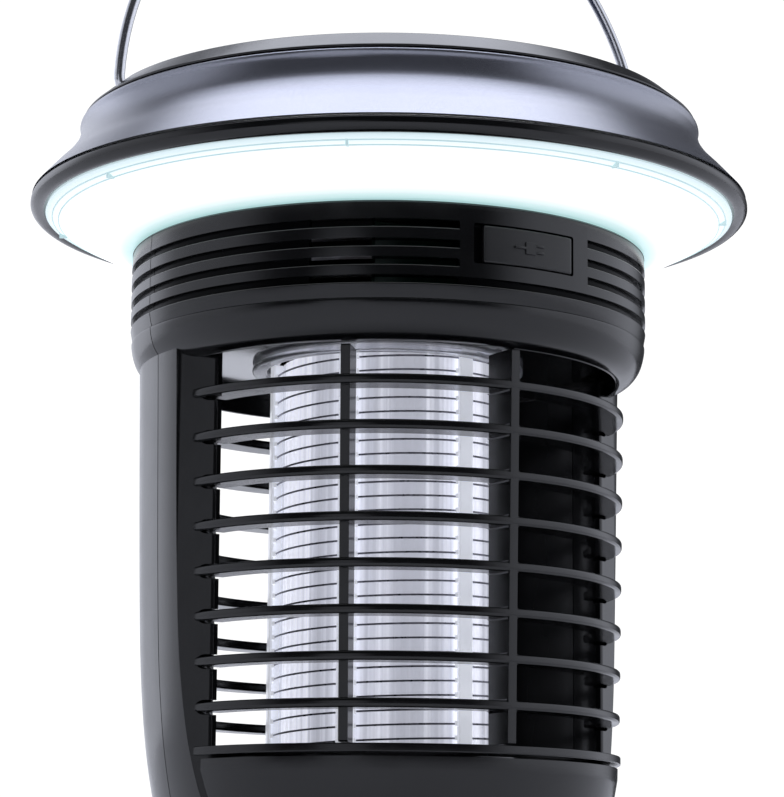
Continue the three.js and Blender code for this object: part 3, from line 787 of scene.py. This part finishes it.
# ---- lamp and shock grid ----
def lens_tube():
    """A clear tube with fine upright flutes round its outside."""
    flutes, per_flute = 60, 6
    outside = []
    for k in range(flutes * per_flute):
        swell = 0.22 * abs(math.sin(math.pi * k / per_flute))
        outside.append(plan(TUBE_R - 0.25 + swell, 360 * k / (flutes * per_flute)))
    obj = prism("lens_tube_fluted", outside, TUBE_FOOT, TUBE_TOP)
    bore = prism("bore", [plan(TUBE_IN, 3 * k) for k in range(120)], TUBE_FOOT - 1, TUBE_TOP + 1)
    cut(obj, bore)
    finish_piece(obj, FLUTED, ["lens_tube"], sharp=50)


def uv_lamp():
    low, high = LAMP_Z
    outline = soften([(AXIS, low), (LAMP_R, low), (LAMP_R, high), (AXIS, high)], 3.2, 8)
    finish_piece(lathe("lamp_bulb", outline, 64), LAMP, ["uv_lamp"])
    socket = [(AXIS, high + 0.3), (11, high + 0.3), (11, 151.5), (22, 151.5), (22, 153), (AXIS, 153)]
    obj = lathe("lamp_holder", soften(socket, 0.5), 96)
    finish_piece(obj, PALE, ["lamp_socket"])


def flange_and_ceiling():
    obj = band("lamp_flange_lens", *FLANGE_R, *FLANGE_Z, 0.6)
    finish_piece(obj, CLEAR, ["lamp_flange"])
    plate = [(24, 147.2), (50.5, 147.2), (50.5, 149.7), (54.2, 149.7), (54.2, 151.2), (24, 151.2)]
    obj = lathe("ceiling_disc", soften(plate, 0.25))
    finish_piece(obj, CEILING_GLOSS, ["ceiling_plate"])


def electrode(name, start_az, node):
    """One wire wound round the tube, inside the posts, from the floor to the flange."""
    around, section = 96, 8
    low, high = GRID_Z
    steps = round(around * (high - low) / GRID_LEAD)
    verts = []
    for s in range(steps + 1):
        rise = (high - low) * s / steps
        azimuth = start_az + 360 * rise / GRID_LEAD
        for k in range(section):
            t = 2 * math.pi * k / section
            r, z = GRID_R + GRID_WIRE * math.cos(t), low + rise + GRID_WIRE * math.sin(t)
            verts.append((*plan(r, azimuth), z))
    faces = [tuple(range(section)), tuple(range(steps * section, (steps + 1) * section))]
    for s in range(steps):
        for k in range(section):
            here, there, m = s * section, (s + 1) * section, (k + 1) % section
            faces.append((here + k, there + k, there + m, here + m))
    finish_piece(new_object(name, verts, faces), GRID, [node])


def boxes(name, spans):
    """Several separate blocks in one mesh."""
    verts, faces = [], []
    sides = ((0, 1, 2, 3), (4, 5, 6, 7), (0, 1, 5, 4), (1, 2, 6, 5), (2, 3, 7, 6), (3, 0, 4, 7))
    for (x0, x1), (y0, y1), (z0, z1) in spans:
        faces += [tuple(len(verts) + corner for corner in side) for side in sides]
        verts += [(x, y, z) for z in (z0, z1) for x, y in ((x0, y0), (x1, y0), (x1, y1), (x0, y1))]
    return new_object(name, verts, faces)


def wire_heights(azimuth):
    """Where the two wires cross an upright line at an azimuth."""
    heights = []
    for start_az in GRID_START_AZ:
        z = GRID_Z[0] + (azimuth - start_az) % 360 * GRID_LEAD / 360
        while z < GRID_Z[1] - 1:
            heights.append(z)
            z += GRID_LEAD
    return heights


def grid_posts():
    """Clear upright strips outside the wires, each webbed to the tube and toothed at each wire."""
    half = POST_SPAN / 2
    tooth_x = POST_R[0] * math.radians(half) + 0.4
    tooth_y, web_y = (-POST_R[0] - 0.3, -GRID_R), (-POST_R[0] - 0.2, -TUBE_R - 0.1)
    for i in range(POST_COUNT):
        azimuth = POST_FIRST_AZ + 360 * i / POST_COUNT
        obj = band(f"grid_post_{i + 1}_strip", *POST_R, TUBE_FOOT, TUBE_TOP)
        keep(obj, wedge(azimuth - half, azimuth + half, 55, 150))
        chamfer(obj, 0.15)
        spans = [((-tooth_x, tooth_x), tooth_y, (z - TOOTH_HALF, z + TOOTH_HALF))
                 for z in wire_heights(azimuth)]
        web = block("web", (-WEB_HALF, WEB_HALF), web_y, (TUBE_FOOT + 0.2, TUBE_TOP - 0.2), 0.1)
        add(obj, turn_z(web, azimuth), turn_z(boxes("teeth", spans), azimuth))
        finish_piece(obj, POST, [f"grid_post_{i + 1}"])


def grid_floor():
    """A ring under the tube on four spokes, with a rim that stands inside the sill."""
    z0, z1 = FLOOR_Z
    obj = band("grid_floor_plate", *FLOOR_HUB, z0, z1, 0.3)
    add(obj, band("rim", FLOOR_RIM_IN, SILL_IN - 0.3, z0, z1, 0.3))
    spoke_y = (-FLOOR_RIM_IN - 1, -FLOOR_HUB[1] + 1)
    for azimuth in (0, 90, 180, 270):
        spoke = block("spoke", (-1.5, 1.5), spoke_y, (z0 + 0.1, z1 - 0.1), 0.25)
        add(obj, turn_z(spoke, azimuth))
    finish_piece(obj, BLACK, ["grid_floor"])


# ---- drawer, base and foot ----
def drawer_front():
    """The front lower panel, with a shallow finger scoop."""
    outside = [(r - DRAWER_INSET, z) for r, z in spline(JAMB, 60) if z <= DRAWER_TOP - 0.6]
    outside.append((outside[-1][0] + 0.06, DRAWER_TOP))
    outside[0] = (outside[0][0], outside[0][1] + 0.3)
    inside = [(r - DRAWER_WALL, z) for r, z in outside][::-1]
    obj = lathe("drawer_front_panel", outside + inside)
    keep(obj, prism("area", window_plan(FRONT_EDGE, DRAWER_GAP, 0.7), 0, 70))
    chamfer(obj, 0.35)
    scoop = [(AXIS, -9), (5, -8.4), (9, -6), (12, 0), (9, 6), (5, 8.4), (AXIS, 9)]
    scoop = lathe("scoop", scoop, 64)
    scoop.data.transform(Matrix.Diagonal((1.5, 0.35, 0.62, 1)))
    scoop.data.transform(Matrix.Translation((0, -44.6 * MM, 22 * MM)))
    cut(obj, scoop)
    finish_piece(obj, BLACK, ["drawer_front"], "drawer")


def debris_bin():
    """The round cup behind the panel, slim enough to pass between the front jambs."""
    slim = math.sin(math.radians(FRONT_EDGE - BEVEL_SWEEP))
    wall = [((r - LOWER_WALL) * slim - 0.8, z) for r, z in spline(JAMB, 60)
            if BIN_FLOOR <= z <= BIN_TOP]
    inside = [(r - BIN_WALL, z) for r, z in wall][::-1]
    inner_floor = BIN_FLOOR + BIN_WALL
    bottom = [(inside[-1][0], inner_floor), (AXIS, inner_floor), (AXIS, BIN_FLOOR)]
    outline = [(wall[0][0], BIN_FLOOR)] + wall + inside[:-1] + bottom
    obj = lathe("debris_bin_cup", outline, 128)
    finish_piece(obj, BLACK, ["debris_bin"], "drawer")


def base_and_foot():
    base = [(AXIS, 2.2), (37.6, 2.2), (39.2, 3.4), (39.7, 7.6), (34, 7.6), (34, 5.2), (AXIS, 5.2)]
    finish_piece(lathe("base_dish", soften(base, 0.5, 4)), BLACK, ["base_plate"])
    foot = [(29, 0), (35.4, 0), (36, 0.6), (36, 1.9), (29, 1.9)]
    finish_piece(lathe("foot_pad", soften(foot, 0.3)), RUBBER, ["foot_ring"])


# ---- port, button and bail ----
def usb_cover():
    """A flap with rounded corners, its round hinge end and a plain raised plug mark."""
    half = (COVER_R[1] - COVER_R[0]) / 2
    hinge_az = COVER_AZ[1] - 0.87
    hx, hy = plan(COVER_R[0] + half, hinge_az)
    spans = [COVER_AZ[0] + (hinge_az - COVER_AZ[0]) * i / 16 for i in range(17)]
    end = []
    for i in range(7):
        t = math.radians(hinge_az - 90 + 22.5 * (i + 1))
        end.append((hx + half * math.cos(t), hy + half * math.sin(t)))
    front = [plan(COVER_R[1] - 0.02, a) for a in spans]
    back = [plan(COVER_R[0], a) for a in spans[::-1]]
    obj = prism("port_flap", front + end + back, *COVER_Z)
    chamfer(obj, 0.45, 3, 50)
    finish_piece(obj, RUBBER, ["usb_cover"], "port_cover")
    plug_mark()


def plug_mark():
    """Two pins, a round body and a lead: a generic plug, raised on the flap."""
    shapes = [((-4.2, -0.25), (-1.4, 0.25)), ((-1.6, -1.3), (1.0, 1.3)), ((0.8, 0.45), (3.0, 0.95)),
              ((0.8, -0.95), (3.0, -0.45))]
    middle = (COVER_AZ[0] + COVER_AZ[1]) / 2
    for i, ((x0, z0), (x1, z1)) in enumerate(shapes):
        bar = block("mark", (x0, x1), (-57.85, -57.2), (PORT_Z + z0, PORT_Z + z1), 0.12)
        turn_z(bar, middle)
        bar.name = f"port_mark_{i + 1}"
        finish_piece(bar, RUBBER, body="port_cover")


def mode_button():
    ends = (0, BUTTON_FOOT, BUTTON_Z), (0, BUTTON_FACE, BUTTON_Z)
    cap = chamfer(rod("mode_button_cap", *ends, BUTTON_R, 64), 0.7, 4)
    flange_ends = (0, BUTTON_FOOT - 0.4, BUTTON_Z), (0, BUTTON_FOOT + 1, BUTTON_Z)
    add(cap, rod("flange", *flange_ends, BUTTON_R + BUTTON_FLANGE, 64))
    finish_piece(cap, RUBBER, ["mode_button"], "button")


def bail():
    """A half circle of wire with a rounded corner and a short straight hook at each end."""
    corner = 2.6
    points = [(-HOOK_X, 0, BAIL_Z), (-HOOK_X - 2, 0, BAIL_Z)]
    start = math.asin((corner + 0.4) / BAIL_R)
    foot_x, foot_z = BAIL_R * math.cos(start), BAIL_Z + BAIL_R * math.sin(start)
    for k in range(7):
        t = k / 6
        a, b, c = (BAIL_R - corner, BAIL_Z), (BAIL_R, BAIL_Z), (foot_x, foot_z)
        x = a[0] * (1 - t) ** 2 + 2 * b[0] * t * (1 - t) + c[0] * t * t
        z = a[1] * (1 - t) ** 2 + 2 * b[1] * t * (1 - t) + c[1] * t * t
        points.append((-x, 0, z))
    for k in range(1, 64):
        t = start + (math.pi - 2 * start) * k / 64
        points.append((-BAIL_R * math.cos(t), 0, BAIL_Z + BAIL_R * math.sin(t)))
    points += [(-x, y, z) for x, y, z in points[8::-1]]
    obj = sweep("bail_handle", points, WIRE_R, 20)
    finish_piece(obj, STEEL, ["bail_wire"], "bail", 60)


def inner_parts():
    """Hidden parts keep their CAD shape and take a finished material."""
    finishes = {DULL: ("cap_deck", "battery_holder", "hv_module"), PALE: ("reflector", "led_board"),
                BOARD: ("control_board",), SLEEVE: ("battery_cell",),
                STEEL: ("usb_port", *(f"housing_screw_{i + 1}" for i in range(4)))}
    for material, nodes in finishes.items():
        for node in nodes:
            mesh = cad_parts[node].data
            mesh.materials.clear()
            mesh.materials.append(material)


# ---- floor, light and camera ----
def floor():
    reach, z = 3000, -0.05
    corners = [(-reach, -reach, z), (reach, -reach, z), (reach, reach, z), (-reach, reach, z)]
    obj = new_object("floor", corners, [(0, 1, 2, 3)])
    n = Nodes("floor")
    n.colour(n.tint(n.noise(3.0), (0.86, 0.86, 0.87), (0.9, 0.9, 0.91)))
    n.set(Roughness=0.8)
    obj.data.materials.append(n.material)


def studio():
    """Plain soft boxes in the world's light, fixed round the object, and a white backdrop."""
    world = bpy.data.worlds.new("studio")
    bpy.context.scene.world = world
    bpy.context.scene.view_settings.view_transform = "Standard"
    world.use_nodes = True
    tree = world.node_tree
    tree.nodes.clear()
    nodes, link = tree.nodes, tree.links.new
    where = nodes.new("ShaderNodeTexCoord").outputs["Generated"]

    def soft_box(azimuth, height, full, faded, strength):
        toward = nodes.new("ShaderNodeVectorMath")
        toward.operation = "DOT_PRODUCT"
        flat = math.cos(math.radians(height))
        toward.inputs[1].default_value = (*plan(flat, azimuth), math.sin(math.radians(height)))
        link(where, toward.inputs[0])
        fade = nodes.new("ShaderNodeMapRange")
        fade.interpolation_type = "SMOOTHSTEP"
        fade.inputs["From Min"].default_value = math.cos(math.radians(faded))
        fade.inputs["From Max"].default_value = math.cos(math.radians(full))
        fade.inputs["To Max"].default_value = strength
        link(toward.outputs["Value"], fade.inputs["Value"])
        return fade.outputs["Result"]

    # each box is added to the sum of those before it, and the first to the ambient light
    total = None
    for values in SOFT_BOXES:
        added = nodes.new("ShaderNodeMath")
        added.inputs[1].default_value = AMBIENT
        link(soft_box(*values), added.inputs[0])
        if total:
            link(total, added.inputs[1])
        total = added.outputs["Value"]

    lit = nodes.new("ShaderNodeBackground")
    lit.inputs["Color"].default_value = LIGHT_COLOUR
    link(total, lit.inputs["Strength"])
    seen = nodes.new("ShaderNodeBackground")
    seen.inputs["Color"].default_value = (1, 1, 1, 1)
    seen.inputs["Strength"].default_value = BACKDROP
    mix = nodes.new("ShaderNodeMixShader")
    link(nodes.new("ShaderNodeLightPath").outputs["Is Camera Ray"], mix.inputs["Fac"])
    link(lit.outputs["Background"], mix.inputs[1])
    link(seen.outputs["Background"], mix.inputs[2])
    link(mix.outputs["Shader"], nodes.new("ShaderNodeOutputWorld").inputs["Surface"])


def camera():
    data = bpy.data.cameras.new("camera")
    data.lens = CAMERA_LENS
    data.sensor_width = 36
    data.clip_start, data.clip_end = 0.01, 50
    obj = bpy.data.objects.new("camera", data)
    bpy.context.collection.objects.link(obj)
    x, y = plan(CAMERA_R, CAMERA_AZ)
    aim = Matrix.Rotation(math.radians(CAMERA_AZ + CAMERA_YAW), 4, "Z")
    tilt = Matrix.Rotation(math.radians(90 + CAMERA_PITCH), 4, "X")
    roll = Matrix.Rotation(math.radians(CAMERA_ROLL), 4, "Z")
    obj.matrix_world = Matrix.Translation((x * MM, y * MM, CAMERA_Z * MM)) @ aim @ tilt @ roll
    bpy.context.scene.camera = obj


camera()
studio()
floor()
cap_skirt()
top_bezel()
solar_panel()
rim_ring()
diffuser()
housing_front()
housing_rear()
grille("front_grille", FRONT_EDGE, [(4, 0.05), (-36.5, 1.9)], "front")
grille("rear_grille", REAR_EDGE, [(38, 0.05), (-38, 0.7)], "rear")
lens_tube()
uv_lamp()
flange_and_ceiling()
electrode("grid_pole_a", GRID_START_AZ[0], "grid_electrode_a")
electrode("grid_pole_b", GRID_START_AZ[1], "grid_electrode_b")
grid_posts()
grid_floor()
drawer_front()
debris_bin()
base_and_foot()
usb_cover()
mode_button()
bail()
inner_parts()
